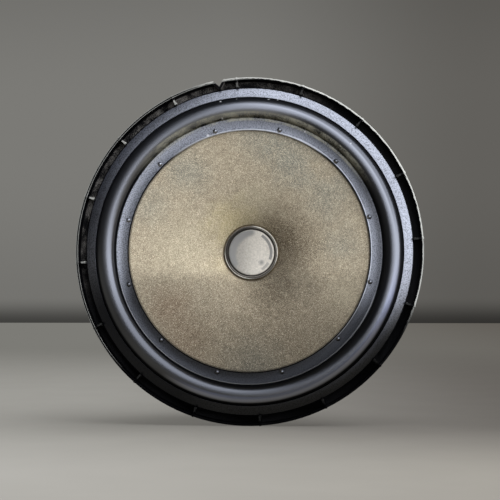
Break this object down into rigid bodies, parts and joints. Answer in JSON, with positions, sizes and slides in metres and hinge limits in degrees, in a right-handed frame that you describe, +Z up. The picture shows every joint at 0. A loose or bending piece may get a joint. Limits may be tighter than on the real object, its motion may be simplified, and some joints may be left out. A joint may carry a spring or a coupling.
{
  "type": "car door speaker",
  "caption": "Round door woofer: moulded basket with a ribbed rim channel and index notch, rubber surround, tan paper cone, sunk metal cap, ferrite motor and rear plug socket.",
  "frame": {"origin": "on the speaker's axis, in the plane where the rim seats on the door", "axes": "-Y points out of the front along the cone's axis, +Y to the magnet, +Z up with the terminals at the bottom, +X to the right as seen from the front"},
  "size_m": [0.166, 0.0668, 0.166],
  "materials": {
    "basket": "satin, moulded, dusty in the channel",
    "mounting_seal": "closed-cell foam",
    "surround": "satin rubber with a fine grain on its flanges",
    "spider": "resin-treated woven cloth",
    "connector_housing": "satin, moulded",
    "terminal_positive": "tin-plated",
    "terminal_negative": "tin-plated",
    "terminal_rivets": "plain, drawn",
    "top_plate": "zinc-plated",
    "magnet_ring": "ground ferrite, matt",
    "pole_yoke": "zinc-plated, turned",
    "plate_screws": "zinc-plated",
    "lead_positive": "braided copper tinsel",
    "lead_negative": "braided copper tinsel",
    "cone": "felted paper pulp, stained and faded",
    "dust_cap": "satin, dulled",
    "coil_former": "thin rolled foil",
    "coil_collar": "kraft paper",
    "voice_coil": "enamelled copper wire",
    "coil_tails": "enamelled copper wire",
    "lead_joints": "solder under brown glue",
    "neck_adhesive": "hard dark glue"
  },
  "bodies": {
    "frame": {"basket": "basket", "mounting_seal": "mounting_seal", "surround": "surround", "spider": "spider", "connector_housing": "connector_housing", "terminal_positive": "terminal_positive", "terminal_negative": "terminal_negative", "terminal_rivets": "terminal_rivets", "top_plate": "top_plate", "magnet_ring": "magnet_ring", "pole_yoke": "pole_yoke", "plate_screws": "plate_screws", "lead_positive": "lead_positive", "lead_negative": "lead_negative"},
    "diaphragm": {"cone": "cone", "dust_cap": "dust_cap", "coil_former": "coil_former", "coil_collar": "coil_collar", "voice_coil": "voice_coil", "coil_tails": "coil_tails", "lead_joints": "lead_joints", "neck_adhesive": "neck_adhesive"}
  },
  "joints": [
    {"name": "cone_travel", "type": "slide", "parent": "frame", "child": "diaphragm", "axis": [0, -1, 0], "range_m": [-0.005, 0.005], "stiffness_N_per_m": 1500, "deforming": ["surround", "spider", "lead_positive", "lead_negative"]}
  ]
}
